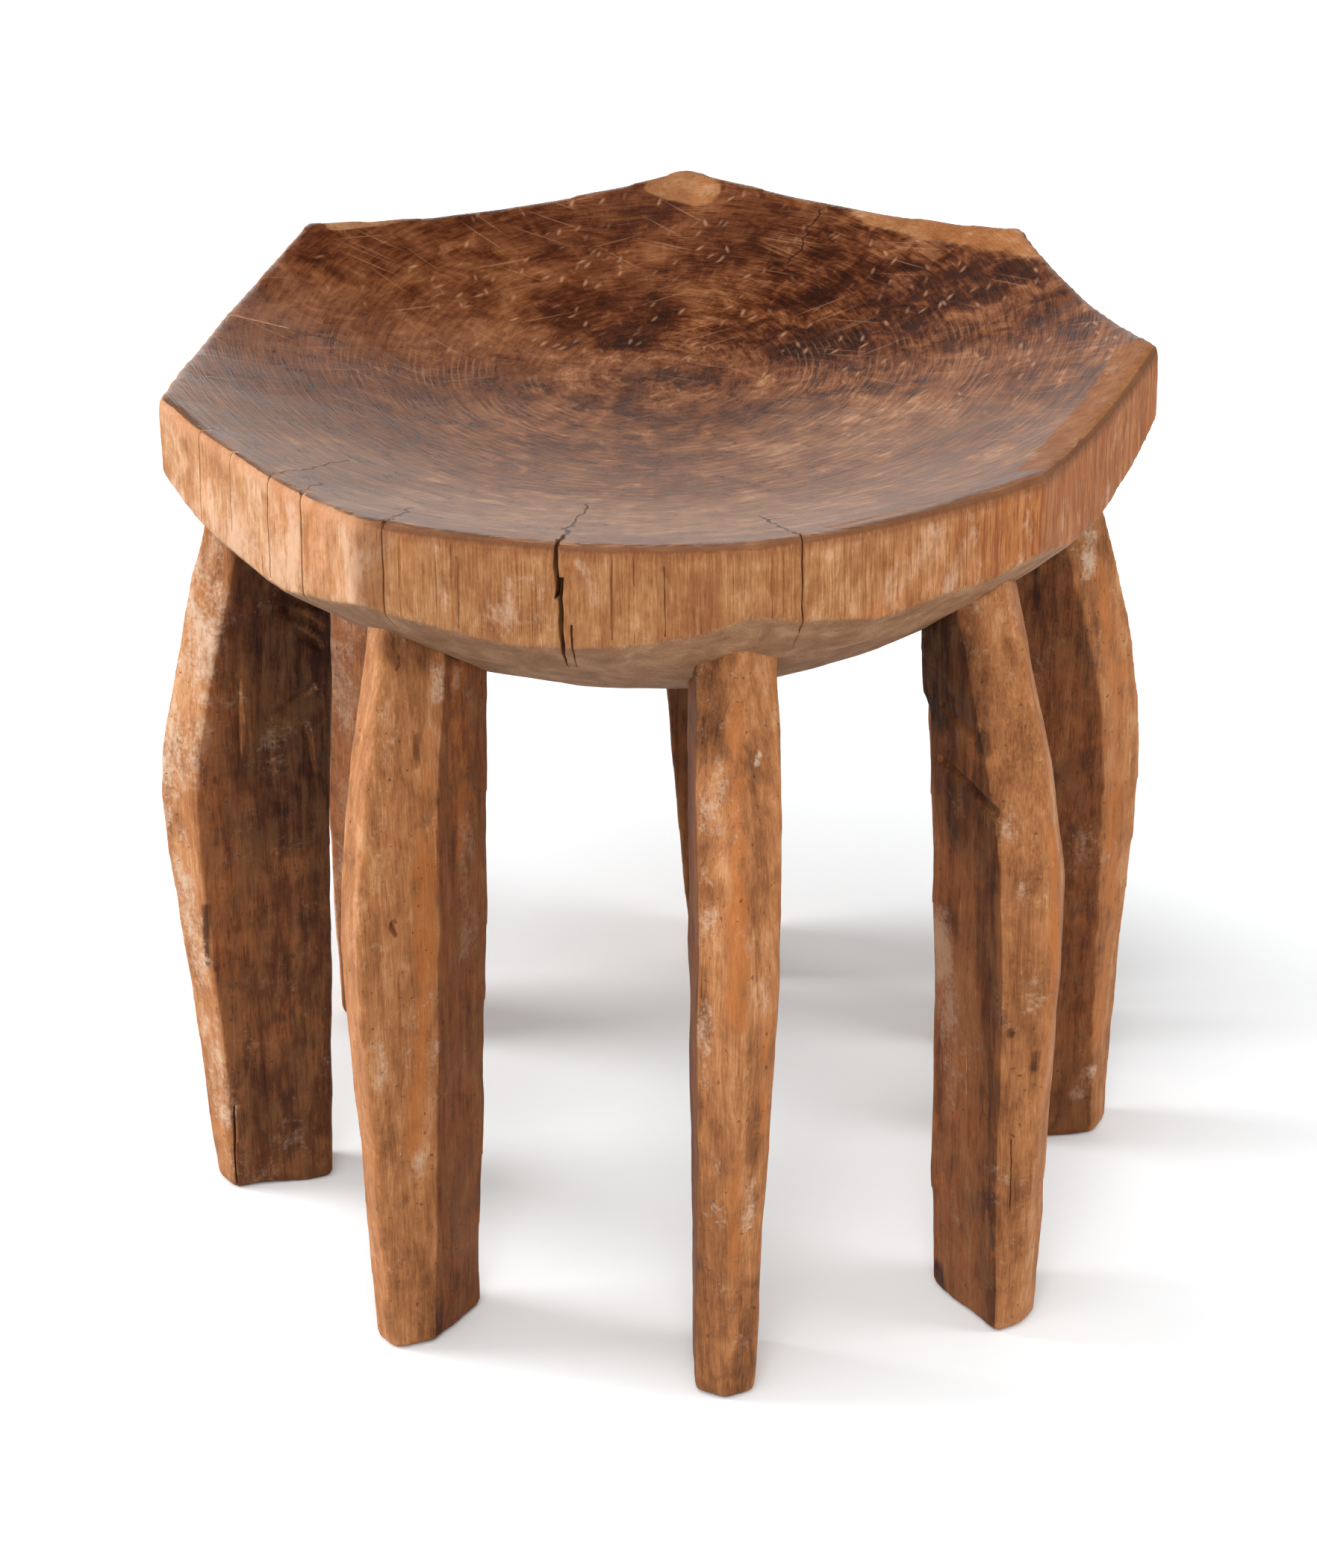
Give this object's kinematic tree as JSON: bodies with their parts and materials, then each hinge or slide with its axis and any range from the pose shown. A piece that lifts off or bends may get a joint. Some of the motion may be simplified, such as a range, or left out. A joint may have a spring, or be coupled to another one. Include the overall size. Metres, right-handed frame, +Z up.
{
  "type": "carved stool",
  "caption": "Low hewn wooden stool with a scooped, many-cornered seat on bowed, ridged legs, each standing below a corner.",
  "frame": {"origin": "centre of the stool's footprint box, on the floor plane under the feet", "axes": "+Z up, -Y towards the front as pictured, +X to the viewer's right"},
  "size_m": [0.483, 0.5028, 0.4523],
  "materials": {
    "seat_wood": "oiled, worn to a low sheen in the scoop",
    "leg_wood": "tool-finished, matt"
  },
  "bodies": {
    "root": {"seat": "seat_wood", "leg_front": "leg_wood", "leg_front_right": "leg_wood", "leg_right": "leg_wood", "leg_back_right": "leg_wood", "leg_back": "leg_wood", "leg_back_left": "leg_wood", "leg_left": "leg_wood", "leg_front_left": "leg_wood"}
  },
  "joints": []
}
